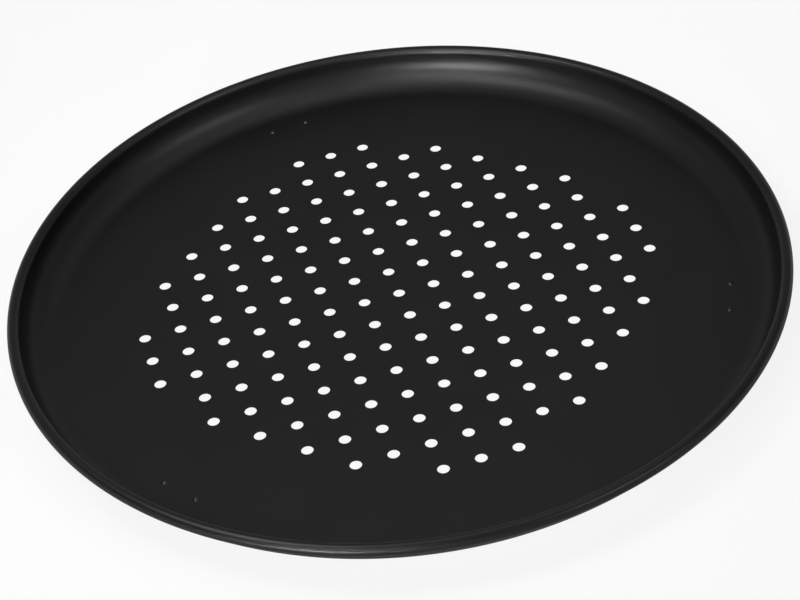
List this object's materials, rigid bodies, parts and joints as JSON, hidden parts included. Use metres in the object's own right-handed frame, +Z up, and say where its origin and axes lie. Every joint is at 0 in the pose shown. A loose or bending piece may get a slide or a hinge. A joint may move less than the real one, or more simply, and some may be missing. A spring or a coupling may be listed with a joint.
{
  "type": "pizza pan",
  "caption": "Round dark non-stick pizza pan with a perforated floor, a coved wall and a rolled rim, raised on low welded feet.",
  "frame": {"origin": "on the pan's axis, in the plane that the feet stand on", "axes": "+Z up along the pan's axis; the rows of holes run along X and Y; one foot is at the rear, towards +Y"},
  "size_m": [0.406, 0.406, 0.0282],
  "materials": {
    "coated_steel": "satin near-black non-stick coating over sheet steel"
  },
  "bodies": {
    "root": {"pan_shell": "coated_steel", "rear_foot": "coated_steel", "left_foot": "coated_steel", "right_foot": "coated_steel", "spot_welds": "coated_steel"}
  },
  "joints": []
}
